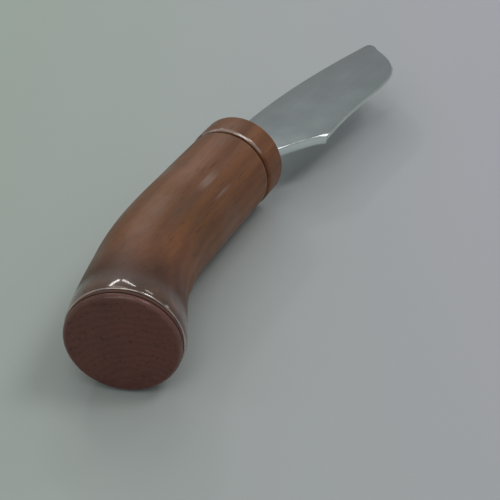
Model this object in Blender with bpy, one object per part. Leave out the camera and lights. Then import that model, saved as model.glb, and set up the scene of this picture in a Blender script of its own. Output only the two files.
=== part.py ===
"""Leatherworking swivel knife.

A curved hardwood grip with a flared butt carries a ball-bearing spindle in its straight front bore.
The blade and its wooden collar are fixed to that spindle and turn together about it.

Units are metres and +Z is up. The knife lies flat: +X runs along the spindle toward the blade's tip,
+Y is the blade's spine side, and the edge and the butt lean toward -Y. Positions along the spindle
are measured from the collar's rear face, and are negative inside the grip.
"""

import math

import bmesh
import bpy
from mathutils import Matrix, Vector
from mathutils.geometry import interpolate_bezier

MM = 0.001

# Fits
FIT_GAP = 0.3 * MM
RUNNING_GAP = 0.15 * MM
SWIVEL_GAP = 0.8 * MM

# Grip, measured along its curved centreline from the collar's rear face to the butt's end face
GRIP_LENGTH = 105.5 * MM
WAIST_RADIUS = 16.3 * MM
FLARE_HEIGHT = 2.35 * MM
FLARE_START = 0.69 * GRIP_LENGTH
FLARE_POWER = 1.3
CREST_AT = 0.933 * GRIP_LENGTH
CREST_FALL = 0.85 * MM
GRIP_FRONT_ROUND = 1.6 * MM
BEND = math.radians(23.2)
BEND_START = 0.33 * GRIP_LENGTH
BEND_END = 0.924 * GRIP_LENGTH
END_TURN = math.radians(5.8)
END_TURN_START = 0.75 * GRIP_LENGTH
END_TURN_END = 0.95 * GRIP_LENGTH
AXIS_HEIGHT = WAIST_RADIUS + FLARE_HEIGHT
GRIP_STATIONS = 46
GRIP_SIDES = 56
CENTRELINE_STEPS = 120
ARC_STEPS = 6

# Butt: cap, spacer and what fastens them, measured forward from the end face
CAP_THICKNESS = 1.8 * MM
CAP_RADIUS = 18.0 * MM
CAP_ROUND = 1.3 * MM
SPACER_THICKNESS = 1.0 * MM
SPACER_RADIUS = 18.1 * MM
SPIGOT_RADIUS = 7.7 * MM
SPIGOT_END = 9.0 * MM
STUD_RADIUS = 2.0 * MM
STUD_END = 17.5 * MM
INSERT_RADIUS = 4.2 * MM
INSERT_LENGTH = 10.0 * MM
DOWEL_RADIUS = 1.2 * MM
DOWEL_OFFSET = 12.5 * MM
DOWEL_START = 1.0 * MM
DOWEL_END = 8.0 * MM

# Collar
COLLAR_RADIUS = 16.6 * MM
COLLAR_LENGTH = 11.0 * MM
COLLAR_REAR_ROUND = 0.8 * MM
COLLAR_FRONT_ROUND = 0.8 * MM
COLLAR_WEB = 3.0 * MM
COLLAR_BORE = 6.9 * MM

# Blade
BLADE_THICKNESS = 3.4 * MM
TANG_HALF_WIDTH = 6.2 * MM
TANG_END = 2.0 * MM
SHOULDER_AT = COLLAR_LENGTH + FIT_GAP
EDGE_LAND = 0.3 * MM
TOP_BEVEL_WIDTH = 0.6 * MM
TOP_BEVEL_DEPTH = 0.5 * MM
UNDER_BEVEL_WIDTH = 2.8 * MM
BEVEL_RUN_OUT = 5
LONG_CURVE_STEPS = 14
BELLY_STEPS = 12
CHOIL_STEPS = 8
CORNER_STEPS = 4

# Spindle and the pieces on it
SPINDLE_HEAD_RADIUS = 6.6 * MM
SPINDLE_NECK_RADIUS = 4.6 * MM
SPINDLE_RADIUS = 3.0 * MM
SPINDLE_HEAD_REAR = -2.6 * MM
SPINDLE_SHOULDER = -5.3 * MM
SPINDLE_END = -54.2 * MM
SPINDLE_CHAMFER = 0.6 * MM
FORK_BOTTOM = 1.5 * MM
PIN_RADIUS = 1.25 * MM
PIN_AT = 4.9 * MM

# Ball bearing
BEARING_CENTRE = -9.1 * MM
BEARING_WIDTH = 7.0 * MM
BALL_COUNT = 7
BALL_RADIUS = 1.4 * MM
BALL_CIRCLE = 5.6 * MM
RACE_CLEARANCE = 0.2 * MM
INNER_RACE_OUTSIDE = 4.9 * MM
OUTER_RACE_INSIDE = 6.3 * MM
OUTER_RACE_OUTSIDE = 8.1 * MM
CAGE_INSIDE = 5.15 * MM
CAGE_OUTSIDE = 6.05 * MM
CAGE_WIDTH = 4.4 * MM
POCKET_RADIUS = 1.6 * MM

# Housing that is pressed into the grip, and what it holds
HOUSING_RADIUS = 10.2 * MM
HOUSING_FRONT = -1.1 * MM
HOUSING_REAR = -43.7 * MM
HOUSING_THROAT = 6.2 * MM
RING_GROOVE_RADIUS = 9.1 * MM
RING_GROOVE_FRONT = -4.1 * MM
RING_INSIDE = 7.0 * MM
RING_THICKNESS = 0.9 * MM
RING_OPENING = 5 * MM
SEAL_FRONT = -1.4 * MM
SEAL_THICKNESS = 1.5 * MM
BUSH_FRONT = -33.3 * MM
BUSH_RADIUS = 4.9 * MM
BUSH_FLANGE_RADIUS = 7.0 * MM
BUSH_FLANGE_THICKNESS = 1.2 * MM
THRUST_WASHER_RADIUS = 6.0 * MM
THRUST_WASHER_THICKNESS = 0.8 * MM
WAVE_COUNT = 3
WAVE_HEIGHT = 0.35 * MM
WAVE_THICKNESS = 0.4 * MM
NUT_RADIUS = 5.6 * MM
NUT_THICKNESS = 2.5 * MM
NUT_BORE_RADIUS = SPINDLE_RADIUS + FIT_GAP
GRIP_BORE_RADIUS = HOUSING_RADIUS + FIT_GAP
REAR_BORE_RADIUS = 8.0 * MM
REAR_BORE_END = -56.0 * MM

TURNED_SIDES = 40
SMALL_SIDES = 24
POCKET_SIDES = 12
NUT_SIDES = 6
BALL_SUBDIVISIONS = 2
SHARP_ANGLE = math.radians(32)
MERGE = 1e-7
CUT_MARGIN = 4 * MM

# Each look's colour in linear RGB, roughness and metallic value
LOOKS = {
    "wood": ((0.10, 0.045, 0.026), 0.3, 0.0),
    "end_wood": ((0.055, 0.028, 0.022), 0.35, 0.0),
    "blade_steel": ((0.16, 0.19, 0.20), 0.3, 1.0),
    "bright_steel": ((0.50, 0.50, 0.52), 0.25, 1.0),
    "brass": ((0.62, 0.42, 0.15), 0.3, 1.0),
    "bronze": ((0.38, 0.20, 0.09), 0.35, 1.0),
    "fibre": ((0.015, 0.012, 0.011), 0.6, 0.0),
    "felt": ((0.12, 0.11, 0.10), 0.95, 0.0),
}


# Materials and small helpers


def material(name, colour, roughness, metallic):
    made = bpy.data.materials.new(name)
    made.use_nodes = True
    shader = made.node_tree.nodes["Principled BSDF"]
    shader.inputs["Base Color"].default_value = (*colour, 1)
    shader.inputs["Roughness"].default_value = roughness
    shader.inputs["Metallic"].default_value = metallic
    made.diffuse_color = (*colour, 1)
    return made


def smoothstep(value):
    clamped = min(max(value, 0.0), 1.0)
    return clamped * clamped * (3 - 2 * clamped)


def to_object(bm, name, look, parent=None):
    """Closes the bmesh into a named object with smooth round faces and sharp corners."""
    bmesh.ops.remove_doubles(bm, verts=bm.verts, dist=MERGE)
    bmesh.ops.recalc_face_normals(bm, faces=bm.faces)
    mesh = bpy.data.meshes.new(name)
    bm.to_mesh(mesh)
    bm.free()
    made = bpy.data.objects.new(name, mesh)
    bpy.context.scene.collection.objects.link(made)
    mesh.materials.append(look)
    made.parent = parent
    smooth(made)
    return made


def smooth(target):
    for face in target.data.polygons:
        face.use_smooth = True
    target.data.set_sharp_from_angle(angle=SHARP_ANGLE)


def cut(target, cutter):
    """Takes the cutter's volume out of the target, then removes the cutter."""
    modifier = target.modifiers.new("cut", "BOOLEAN")
    modifier.operation = "DIFFERENCE"
    modifier.object = cutter
    cutter.hide_render = True
    bpy.context.view_layer.update()
    graph = bpy.context.evaluated_depsgraph_get()
    result = bpy.data.meshes.new_from_object(target.evaluated_get(graph))
    target.modifiers.clear()
    target.data = result
    bpy.data.objects.remove(cutter)
    smooth(target)


def turn_about_axis(bm, outline, sides):
    bmesh.ops.spin(
        bm,
        geom=outline,
        axis=(1, 0, 0),
        cent=(0, 0, 0),
        angle=2 * math.pi,
        steps=sides,
        use_merge=True,
    )


def lathe(name, profile, look, parent, sides=TURNED_SIDES):
    """Turns a profile of (x, radius) points about the X axis. A profile that starts and ends on the
    axis gives a solid, and any other is closed into a ring."""
    bm = bmesh.new()
    points = [bm.verts.new((x, radius, 0)) for x, radius in profile]
    edges = [bm.edges.new(pair) for pair in zip(points, points[1:])]
    if profile[0][1] > MERGE:
        edges.append(bm.edges.new((points[-1], points[0])))
    turn_about_axis(bm, points + edges, sides)
    return to_object(bm, name, look, parent)


def rod(name, start, end, radius, look, parent, sides=SMALL_SIDES):
    return lathe(name, [(start, 0), (start, radius), (end, radius), (end, 0)], look, parent, sides)


def tube(name, start, end, inside, outside, look, parent, sides=SMALL_SIDES):
    profile = [(start, inside), (start, outside), (end, outside), (end, inside)]
    return lathe(name, profile, look, parent, sides)


def rounded_corner(x, radius, size, turn, steps=ARC_STEPS):
    """Points of a quarter round on a turned piece's outer corner at (x, radius), from -X to +X. turn
    is +1 on the corner that faces +X and -1 on the one that faces -X."""
    angles = [math.pi / 2 * step / steps for step in range(steps + 1)]
    points = [(x - turn * size * (1 - math.sin(a)), radius - size * (1 - math.cos(a))) for a in angles]
    return points if turn > 0 else points[::-1]


def box(name, low, high, look, parent=None):
    bm = bmesh.new()
    bmesh.ops.create_cube(bm, size=1)
    size = [b - a for a, b in zip(low, high)]
    middle = [(a + b) / 2 for a, b in zip(low, high)]
    bmesh.ops.transform(bm, matrix=Matrix.LocRotScale(Vector(middle), None, Vector(size)), verts=bm.verts)
    return to_object(bm, name, look, parent)


def upright_rod(name, x, low, high, radius, look, parent, sides=SMALL_SIDES):
    """A rod along Z at the given x on the spindle's centre plane."""
    bm = bmesh.new()
    placed = Matrix.Translation((x, 0, (low + high) / 2))
    bmesh.ops.create_cone(
        bm, cap_ends=True, segments=sides, radius1=radius, radius2=radius, depth=high - low, matrix=placed
    )
    return to_object(bm, name, look, parent)


# Grip centreline and radius


def section_heading(along):
    """The heading that the grip's section is square to. Its last sections turn back a little, so the
    butt's face is cut slightly across the curve."""
    bend = BEND * smoothstep((along - BEND_START) / (BEND_END - BEND_START))
    return bend - END_TURN * smoothstep((along - END_TURN_START) / (END_TURN_END - END_TURN_START))


def centreline(along):
    """The centreline's point at this length from the collar, by the midpoint rule."""
    point = Vector((0, 0, 0))
    length = along / CENTRELINE_STEPS
    for step in range(CENTRELINE_STEPS):
        place = (step + 0.5) * length
        heading = BEND * smoothstep((place - BEND_START) / (BEND_END - BEND_START))
        if place > END_TURN_END:
            heading = section_heading(place)
        point -= length * Vector((math.cos(heading), math.sin(heading), 0))
    return point


def grip_radius(along):
    flare = min(max((along - FLARE_START) / (CREST_AT - FLARE_START), 0.0), 1.0)
    past_crest = max(along - CREST_AT, 0.0) / (GRIP_LENGTH - CREST_AT)
    depth = SWIVEL_GAP + GRIP_FRONT_ROUND - along
    front_round = GRIP_FRONT_ROUND - math.sqrt(max(GRIP_FRONT_ROUND**2 - max(depth, 0.0) ** 2, 0.0))
    return WAIST_RADIUS + FLARE_HEIGHT * flare**FLARE_POWER - CREST_FALL * past_crest**2 - front_round


# Handle pieces


def make_grip(wood, handle, butt):
    end = GRIP_LENGTH - CAP_THICKNESS - SPACER_THICKNESS - 2 * FIT_GAP
    start = SWIVEL_GAP + GRIP_FRONT_ROUND
    stations = [start - GRIP_FRONT_ROUND * math.cos(math.pi / 2 * i / ARC_STEPS) for i in range(ARC_STEPS)]
    stations += [start + (end - start) * i / GRIP_STATIONS for i in range(GRIP_STATIONS + 1)]
    bm = bmesh.new()
    rings = []
    for along in stations:
        centre = centreline(along)
        heading = section_heading(along)
        side = Vector((-math.sin(heading), math.cos(heading), 0))
        radius = grip_radius(along)
        turns = [2 * math.pi * i / GRIP_SIDES for i in range(GRIP_SIDES)]
        ring = [centre + radius * (math.cos(t) * side + Vector((0, 0, math.sin(t)))) for t in turns]
        rings.append([bm.verts.new(point) for point in ring])
    for near, far in zip(rings, rings[1:]):
        for i in range(GRIP_SIDES):
            j = (i + 1) % GRIP_SIDES
            bm.faces.new((near[i], near[j], far[j], far[i]))
    bm.faces.new(rings[0])
    bm.faces.new(rings[-1])
    grip = to_object(bm, "grip", wood, handle)
    cut(grip, rod("cutter", REAR_BORE_END, HOUSING_REAR, REAR_BORE_RADIUS, wood, handle, TURNED_SIDES))
    housing_end = HOUSING_REAR - FIT_GAP
    cut(grip, rod("cutter", housing_end, CUT_MARGIN, GRIP_BORE_RADIUS, wood, handle, TURNED_SIDES))
    rear_face = GRIP_LENGTH - end
    insert_end = SPIGOT_END + FIT_GAP + INSERT_LENGTH + 2 * FIT_GAP
    cut_start = rear_face - CUT_MARGIN
    cut(grip, rod("cutter", cut_start, insert_end, INSERT_RADIUS + FIT_GAP, wood, butt))
    spigot_hole = SPIGOT_RADIUS + FIT_GAP
    cut(grip, rod("cutter", cut_start, SPIGOT_END + FIT_GAP, spigot_hole, wood, butt, TURNED_SIDES))
    cut(grip, dowel_hole(wood, butt))
    return grip


def make_housing(brass, handle):
    bearing_seat = OUTER_RACE_OUTSIDE + FIT_GAP
    groove_rear = RING_GROOVE_FRONT - RING_THICKNESS - FIT_GAP
    seat_end = BEARING_CENTRE - BEARING_WIDTH / 2 - FIT_GAP
    bush_seat = BUSH_RADIUS + FIT_GAP
    profile = [
        (HOUSING_FRONT, bearing_seat),
        (HOUSING_FRONT, HOUSING_RADIUS),
        (HOUSING_REAR, HOUSING_RADIUS),
        (HOUSING_REAR, bush_seat),
        (BUSH_FRONT + FIT_GAP, bush_seat),
        (BUSH_FRONT + FIT_GAP, HOUSING_THROAT),
        (seat_end, HOUSING_THROAT),
        (seat_end, bearing_seat),
        (groove_rear, bearing_seat),
        (groove_rear, RING_GROOVE_RADIUS),
        (RING_GROOVE_FRONT, RING_GROOVE_RADIUS),
        (RING_GROOVE_FRONT, bearing_seat),
    ]
    return lathe("bearing_housing", profile, brass, handle)


def make_snap_ring(steel, handle):
    """The open ring that keeps the outer race in its seat."""
    front = RING_GROOVE_FRONT - FIT_GAP / 2
    rear = front - RING_THICKNESS
    ring = tube("snap_ring", rear, front, RING_INSIDE, RING_GROOVE_RADIUS - FIT_GAP, steel, handle)
    low = (rear - CUT_MARGIN, 0, -RING_OPENING / 2)
    high = (front + CUT_MARGIN, RING_GROOVE_RADIUS + CUT_MARGIN, RING_OPENING / 2)
    cut(ring, box("cutter", low, high, steel, handle))
    return ring


def make_bush(bronze, handle):
    flange_front = HOUSING_REAR - FIT_GAP
    flange_rear = flange_front - BUSH_FLANGE_THICKNESS
    inside = SPINDLE_RADIUS + RUNNING_GAP
    profile = [
        (BUSH_FRONT, inside),
        (BUSH_FRONT, BUSH_RADIUS),
        (flange_front, BUSH_RADIUS),
        (flange_front, BUSH_FLANGE_RADIUS),
        (flange_rear, BUSH_FLANGE_RADIUS),
        (flange_rear, inside),
    ]
    return lathe("rear_bush", profile, bronze, handle, SMALL_SIDES)


def make_handle_pieces(looks, handle, butt):
    make_grip(looks["wood"], handle, butt)
    make_housing(looks["brass"], handle)
    seal_rear = SEAL_FRONT - SEAL_THICKNESS
    seal_inside = SPINDLE_HEAD_RADIUS + FIT_GAP
    tube("dust_seal", seal_rear, SEAL_FRONT, seal_inside, OUTER_RACE_OUTSIDE, looks["felt"], handle)
    make_snap_ring(looks["bright_steel"], handle)
    make_race("outer_race", OUTER_RACE_INSIDE, OUTER_RACE_OUTSIDE, True, looks["bright_steel"], handle)
    make_bush(looks["bronze"], handle)
    make_cap(looks["end_wood"], butt)
    make_spacer(looks["fibre"], butt)
    stud_start = CAP_THICKNESS + FIT_GAP
    rod("pommel_stud", stud_start, STUD_END, STUD_RADIUS, looks["bright_steel"], butt)
    insert_start = SPIGOT_END + 2 * FIT_GAP
    insert_end = insert_start + INSERT_LENGTH
    insert_bore = STUD_RADIUS + FIT_GAP
    tube("pommel_insert", insert_start, insert_end, insert_bore, INSERT_RADIUS, looks["brass"], butt)
    make_dowel(looks["end_wood"], butt)


# Butt pieces


def off_centre(target, offset):
    target.data.transform(Matrix.Translation((0, offset, 0)))
    return target


def dowel_hole(look, butt):
    start = DOWEL_START - FIT_GAP
    end = DOWEL_END + FIT_GAP
    return off_centre(rod("cutter", start, end, DOWEL_RADIUS + FIT_GAP, look, butt), DOWEL_OFFSET)


def make_dowel(wood, butt):
    return off_centre(rod("pommel_dowel", DOWEL_START, DOWEL_END, DOWEL_RADIUS, wood, butt), DOWEL_OFFSET)


def make_cap(wood, butt):
    stud_hole = STUD_RADIUS + FIT_GAP
    profile = [(0, 0)]
    profile += rounded_corner(0, CAP_RADIUS, CAP_ROUND, -1)
    profile += [
        (CAP_THICKNESS, CAP_RADIUS),
        (CAP_THICKNESS, SPIGOT_RADIUS),
        (SPIGOT_END, SPIGOT_RADIUS),
        (SPIGOT_END, stud_hole),
        (CAP_THICKNESS, stud_hole),
        (CAP_THICKNESS, 0),
    ]
    cap = lathe("pommel_cap", profile, wood, butt, GRIP_SIDES)
    cut(cap, dowel_hole(wood, butt))
    return cap


def make_spacer(fibre, butt):
    start = CAP_THICKNESS + FIT_GAP
    end = start + SPACER_THICKNESS
    inside = SPIGOT_RADIUS + FIT_GAP
    spacer = tube("pommel_spacer", start, end, inside, SPACER_RADIUS, fibre, butt, GRIP_SIDES)
    cut(spacer, dowel_hole(fibre, butt))
    return spacer


# Bearing


def make_race(name, inside, outside, groove_on_inside, steel, parent):
    """One bearing ring with a round groove that clears the balls."""
    front = BEARING_CENTRE + BEARING_WIDTH / 2
    rear = BEARING_CENTRE - BEARING_WIDTH / 2
    groove = BALL_RADIUS + RACE_CLEARANCE
    wall = inside if groove_on_inside else outside
    towards = 1 if groove_on_inside else -1
    half_angle = math.acos(abs(wall - BALL_CIRCLE) / groove)
    angles = [half_angle * (2 * i / ARC_STEPS - 1) for i in range(ARC_STEPS + 1)]
    reach = towards * groove
    arc = [(BEARING_CENTRE + groove * math.sin(a), BALL_CIRCLE + reach * math.cos(a)) for a in angles]
    if groove_on_inside:
        profile = [(front, outside), (rear, outside), (rear, inside), *arc, (front, inside)]
    else:
        profile = [(rear, outside), *arc, (front, outside), (front, inside), (rear, inside)]
    return lathe(name, profile, steel, parent, SMALL_SIDES)


def ball_angles():
    return [2 * math.pi * i / BALL_COUNT for i in range(BALL_COUNT)]


def make_balls(steel, cage):
    for number, angle in enumerate(ball_angles(), start=1):
        centre = (BEARING_CENTRE, BALL_CIRCLE * math.cos(angle), BALL_CIRCLE * math.sin(angle))
        bm = bmesh.new()
        placed = Matrix.Translation(centre)
        bmesh.ops.create_icosphere(bm, subdivisions=BALL_SUBDIVISIONS, radius=BALL_RADIUS, matrix=placed)
        to_object(bm, f"bearing_ball_{number}", steel, cage)


def make_cage(brass, cage):
    rear = BEARING_CENTRE - CAGE_WIDTH / 2
    front = rear + CAGE_WIDTH
    ring = tube("bearing_cage", rear, front, CAGE_INSIDE, CAGE_OUTSIDE, brass, cage, TURNED_SIDES)
    for angle in ball_angles():
        bm = bmesh.new()
        lay_along_y = Matrix.Rotation(math.pi / 2, 4, "X")
        to_ball = Matrix.Translation((BEARING_CENTRE, 0, 0)) @ Matrix.Rotation(angle, 4, "X")
        centre = to_ball @ Matrix.Translation((0, BALL_CIRCLE, 0)) @ lay_along_y
        bmesh.ops.create_cone(
            bm,
            cap_ends=True,
            segments=POCKET_SIDES,
            radius1=POCKET_RADIUS,
            radius2=POCKET_RADIUS,
            depth=2 * BALL_RADIUS,
            matrix=centre,
        )
        cut(ring, to_object(bm, "cutter", brass, cage))
    return ring


# Head pieces


def make_collar(wood, head):
    web_rear = COLLAR_LENGTH - COLLAR_WEB
    profile = [(0, COLLAR_BORE)]
    profile += rounded_corner(0, COLLAR_RADIUS, COLLAR_REAR_ROUND, -1)
    profile += rounded_corner(COLLAR_LENGTH, COLLAR_RADIUS, COLLAR_FRONT_ROUND, 1)
    profile += [(COLLAR_LENGTH, 0), (web_rear, 0), (web_rear, COLLAR_BORE)]
    bm = bmesh.new()
    points = [bm.verts.new((x, radius, 0)) for x, radius in profile]
    edges = [bm.edges.new((a, b)) for a, b in zip(points, points[1:]) if a.co.y > MERGE or b.co.y > MERGE]
    edges.append(bm.edges.new((points[-1], points[0])))
    turn_about_axis(bm, points + edges, GRIP_SIDES)
    collar = to_object(bm, "collar", wood, head)
    half_width = TANG_HALF_WIDTH + FIT_GAP
    half_thickness = BLADE_THICKNESS / 2 + FIT_GAP
    low = (web_rear - CUT_MARGIN / 2, -half_width, -half_thickness)
    high = (COLLAR_LENGTH + CUT_MARGIN, half_width, half_thickness)
    cut(collar, box("cutter", low, high, wood, head))
    hole = PIN_RADIUS + FIT_GAP
    cut(collar, upright_rod("cutter", PIN_AT, -COLLAR_RADIUS - CUT_MARGIN, 0, hole, wood, head))
    return collar


def make_spindle(steel, head):
    profile = [
        (SPINDLE_END, 0),
        (SPINDLE_END, SPINDLE_RADIUS - SPINDLE_CHAMFER),
        (SPINDLE_END + SPINDLE_CHAMFER, SPINDLE_RADIUS),
        (SPINDLE_SHOULDER, SPINDLE_RADIUS),
        (SPINDLE_SHOULDER, SPINDLE_NECK_RADIUS),
        (SPINDLE_HEAD_REAR, SPINDLE_NECK_RADIUS),
        (SPINDLE_HEAD_REAR, SPINDLE_HEAD_RADIUS),
        (COLLAR_LENGTH - COLLAR_WEB - FIT_GAP, SPINDLE_HEAD_RADIUS),
        (COLLAR_LENGTH - COLLAR_WEB - FIT_GAP, 0),
    ]
    spindle = lathe("spindle", profile, steel, head)
    half_slot = BLADE_THICKNESS / 2 + FIT_GAP
    low = (FORK_BOTTOM, -SPINDLE_HEAD_RADIUS - CUT_MARGIN, -half_slot)
    high = (COLLAR_LENGTH, SPINDLE_HEAD_RADIUS + CUT_MARGIN, half_slot)
    cut(spindle, box("cutter", low, high, steel, head))
    hole = PIN_RADIUS + FIT_GAP
    upper = SPINDLE_HEAD_RADIUS + CUT_MARGIN
    cut(spindle, upright_rod("cutter", PIN_AT, -upper, upper, hole, steel, head))
    return spindle


def nut(name, front, steel, head):
    """A hexagon nut on the spindle's threaded end."""
    bm = bmesh.new()
    turned = Matrix.Rotation(math.pi / 2, 4, "Y")
    placed = Matrix.Translation((front - NUT_THICKNESS / 2, 0, 0)) @ turned
    bmesh.ops.create_cone(
        bm,
        cap_ends=True,
        segments=NUT_SIDES,
        radius1=NUT_RADIUS,
        radius2=NUT_RADIUS,
        depth=NUT_THICKNESS,
        matrix=placed,
    )
    made = to_object(bm, name, steel, head)
    start = front - NUT_THICKNESS - CUT_MARGIN
    cut(made, rod("cutter", start, front + CUT_MARGIN, NUT_BORE_RADIUS, steel, head))
    return made


def make_wave_washer(front, steel, head):
    """A thin ring that waves along the spindle. It loads the bearing lightly."""
    bm = bmesh.new()
    middle = front - WAVE_HEIGHT - WAVE_THICKNESS / 2
    rings = []
    for i in range(TURNED_SIDES):
        angle = 2 * math.pi * i / TURNED_SIDES
        x = middle + WAVE_HEIGHT * math.cos(WAVE_COUNT * angle)
        out = Vector((0, math.cos(angle), math.sin(angle)))
        half = Vector((WAVE_THICKNESS / 2, 0, 0))
        centre = Vector((x, 0, 0))
        inner = out * (SPINDLE_RADIUS + FIT_GAP)
        outer = out * (THRUST_WASHER_RADIUS - FIT_GAP)
        steps = (half + inner, half + outer, outer - half, inner - half)
        rings.append([bm.verts.new(centre + step) for step in steps])
    for near, far in zip(rings, rings[1:] + rings[:1]):
        for a in range(len(near)):
            b = (a + 1) % len(near)
            bm.faces.new((near[a], near[b], far[b], far[a]))
    return to_object(bm, "wave_washer", steel, head)


def bezier(start, handle_1, handle_2, end, steps):
    """The points of a cubic curve in the blade's plane, without the last one."""
    knots = [Vector((*point, 0)) for point in (start, handle_1, handle_2, end)]
    return interpolate_bezier(*knots, steps + 1)[:-1]


# The blade's outline in millimetres, in its own plane: X along the spindle, Y toward the spine
ROOT_TOP = (SHOULDER_AT / MM, 9.6)
SPINE_END = (117.2, -7.9)
TIP_TOP = (121.4, -9.3)
TIP_SIDE = (122.0, -12.6)
NOSE_DIP = (118.4, -16.2)
BELLY = (92.0, -29.4)
HEEL = (36.3, -24.7)
ROOT_BOTTOM = (SHOULDER_AT / MM, -6.7)


def upper_outline():
    """From the root along the spine and round the tip's corner."""
    points = bezier(ROOT_TOP, (45.0, 9.9), (80.0, 3.0), SPINE_END, LONG_CURVE_STEPS)
    points += bezier(SPINE_END, (119.2, -8.4), (120.5, -8.6), TIP_TOP, CORNER_STEPS)
    points += bezier(TIP_TOP, (122.4, -10.0), (122.8, -11.2), TIP_SIDE, CORNER_STEPS)
    return points


def edge_outline():
    """The ground edge, from the tip's corner round the nose and the belly to the heel."""
    points = bezier(TIP_SIDE, (121.2, -14.0), (119.6, -14.8), NOSE_DIP, CORNER_STEPS)
    points += bezier(NOSE_DIP, (113.0, -22.6), (106.5, -29.4), BELLY, LONG_CURVE_STEPS)
    points += bezier(BELLY, (80.0, -29.4), (66.0, -24.9), HEEL, BELLY_STEPS)
    return points + [Vector((*HEEL, 0))]


def choil_outline():
    """From the heel back to the root."""
    points = bezier(HEEL, (35.9, -20.8), (27.5, -16.6), ROOT_BOTTOM, CHOIL_STEPS)[1:]
    return points + [Vector((*ROOT_BOTTOM, 0))]


def bevel_directions(edge, choil):
    """For each edge point, the way to the flat across a bevel one unit wide. At the heel it follows
    the choil, and at the tip's corner the bevel runs out."""
    directions = []
    for i, point in enumerate(edge):
        before = edge[max(i - 1, 0)]
        after = edge[min(i + 1, len(edge) - 1)]
        run = (after - before).normalized()
        inward = Vector((run.y, -run.x, 0))
        directions.append(inward * smoothstep(i / BEVEL_RUN_OUT))
    along_choil = (choil[0] - edge[-1]).normalized()
    directions[-1] = along_choil / along_choil.dot(inward)
    return directions


def make_blade(steel, head):
    """A flat blade, ground mostly from below, with a tang that the spindle's fork holds."""
    tang = [
        Vector((SHOULDER_AT, -TANG_HALF_WIDTH, 0)),
        Vector((TANG_END, -TANG_HALF_WIDTH, 0)),
        Vector((TANG_END, TANG_HALF_WIDTH, 0)),
        Vector((SHOULDER_AT, TANG_HALF_WIDTH, 0)),
    ]
    upper = [point * MM for point in upper_outline()]
    edge = [point * MM for point in edge_outline()]
    choil = [point * MM for point in choil_outline()]
    outline = upper + edge + choil + tang
    square = Vector((0, 0, 0))
    bevels = [square] * len(upper) + bevel_directions(edge, choil)
    bevels += [square] * (len(choil) + len(tang))
    half = BLADE_THICKNESS / 2
    edge_top = half - TOP_BEVEL_DEPTH
    levels = [
        (half, TOP_BEVEL_WIDTH),
        (edge_top, 0.0),
        (edge_top - EDGE_LAND, 0.0),
        (-half, UNDER_BEVEL_WIDTH),
    ]
    bm = bmesh.new()
    rings = []
    for height, width in levels:
        rise = Vector((0, 0, height))
        rings.append([bm.verts.new(point + bevel * width + rise) for point, bevel in zip(outline, bevels)])
    bm.faces.new(rings[0])
    bm.faces.new(rings[-1])
    for above, below in zip(rings, rings[1:]):
        for i in range(len(outline)):
            j = (i + 1) % len(outline)
            bm.faces.new((above[i], above[j], below[j], below[i]))
    blade = to_object(bm, "blade", steel, head)
    hole = PIN_RADIUS + FIT_GAP
    cut(blade, upright_rod("cutter", PIN_AT, -CUT_MARGIN, CUT_MARGIN, hole, steel, head))
    return blade


def make_head_pieces(looks, head):
    steel = looks["bright_steel"]
    make_blade(looks["blade_steel"], head)
    make_collar(looks["wood"], head)
    make_spindle(steel, head)
    pin_top = SPINDLE_HEAD_RADIUS - FIT_GAP
    upright_rod("tang_pin", PIN_AT, -pin_top, pin_top, PIN_RADIUS, steel, head)
    plug_low = -COLLAR_RADIUS + 2 * FIT_GAP
    upright_rod("pin_plug", PIN_AT, plug_low, -COLLAR_BORE - FIT_GAP, PIN_RADIUS, looks["wood"], head)
    make_race("inner_race", SPINDLE_RADIUS + FIT_GAP, INNER_RACE_OUTSIDE, False, steel, head)
    washer_front = HOUSING_REAR - BUSH_FLANGE_THICKNESS - 2 * FIT_GAP
    washer_rear = washer_front - THRUST_WASHER_THICKNESS
    inside = SPINDLE_RADIUS + FIT_GAP
    tube("thrust_washer", washer_rear, washer_front, inside, THRUST_WASHER_RADIUS, looks["bronze"], head)
    wave_front = washer_rear - FIT_GAP
    make_wave_washer(wave_front, steel, head)
    nut_front = wave_front - 2 * WAVE_HEIGHT - WAVE_THICKNESS - FIT_GAP
    nut("adjusting_nut", nut_front, steel, head)
    nut("jam_nut", nut_front - NUT_THICKNESS - FIT_GAP, steel, head)


# Assembly


def pivot(name, location, heading=0.0):
    """An empty that carries a group of pieces."""
    made = bpy.data.objects.new(name, None)
    made.location = location
    made.rotation_euler = (0, 0, heading)
    bpy.context.scene.collection.objects.link(made)
    return made


def centre_on_origin(roots):
    """Moves the knife so that its box stands on the origin, centred in X and Y."""
    bpy.context.view_layer.update()
    corners = [
        item.matrix_world @ vertex.co
        for item in bpy.context.scene.objects
        if item.type == "MESH"
        for vertex in item.data.vertices
    ]
    low = [min(corner[k] for corner in corners) for k in range(3)]
    high = [max(corner[k] for corner in corners) for k in range(3)]
    shift = Vector((-(low[0] + high[0]) / 2, -(low[1] + high[1]) / 2, -low[2]))
    for root in roots:
        root.location += shift
    bpy.context.view_layer.update()


def main():
    for item in list(bpy.data.objects):
        bpy.data.objects.remove(item)
    looks = {name: material(name, *values) for name, values in LOOKS.items()}
    axis_start = (0, 0, AXIS_HEIGHT)
    handle = pivot("handle_pivot", axis_start)
    head = pivot("head_pivot", axis_start)
    cage = pivot("cage_pivot", axis_start)
    butt = pivot("butt_pivot", centreline(GRIP_LENGTH), section_heading(GRIP_LENGTH))
    butt.parent = handle
    bpy.context.view_layer.update()
    make_handle_pieces(looks, handle, butt)
    make_head_pieces(looks, head)
    make_cage(looks["brass"], cage)
    make_balls(looks["bright_steel"], cage)
    centre_on_origin((handle, head, cage))


main()
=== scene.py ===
"""Looks, light and camera for the swivel knife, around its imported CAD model.

Lengths are metres. Places along the grip are lengths along its centreline from the collar's rear face.
The grip, collar, butt cap, spacer and blade are rebuilt here with finer rounds than their CAD nodes.
"""

import math

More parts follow.
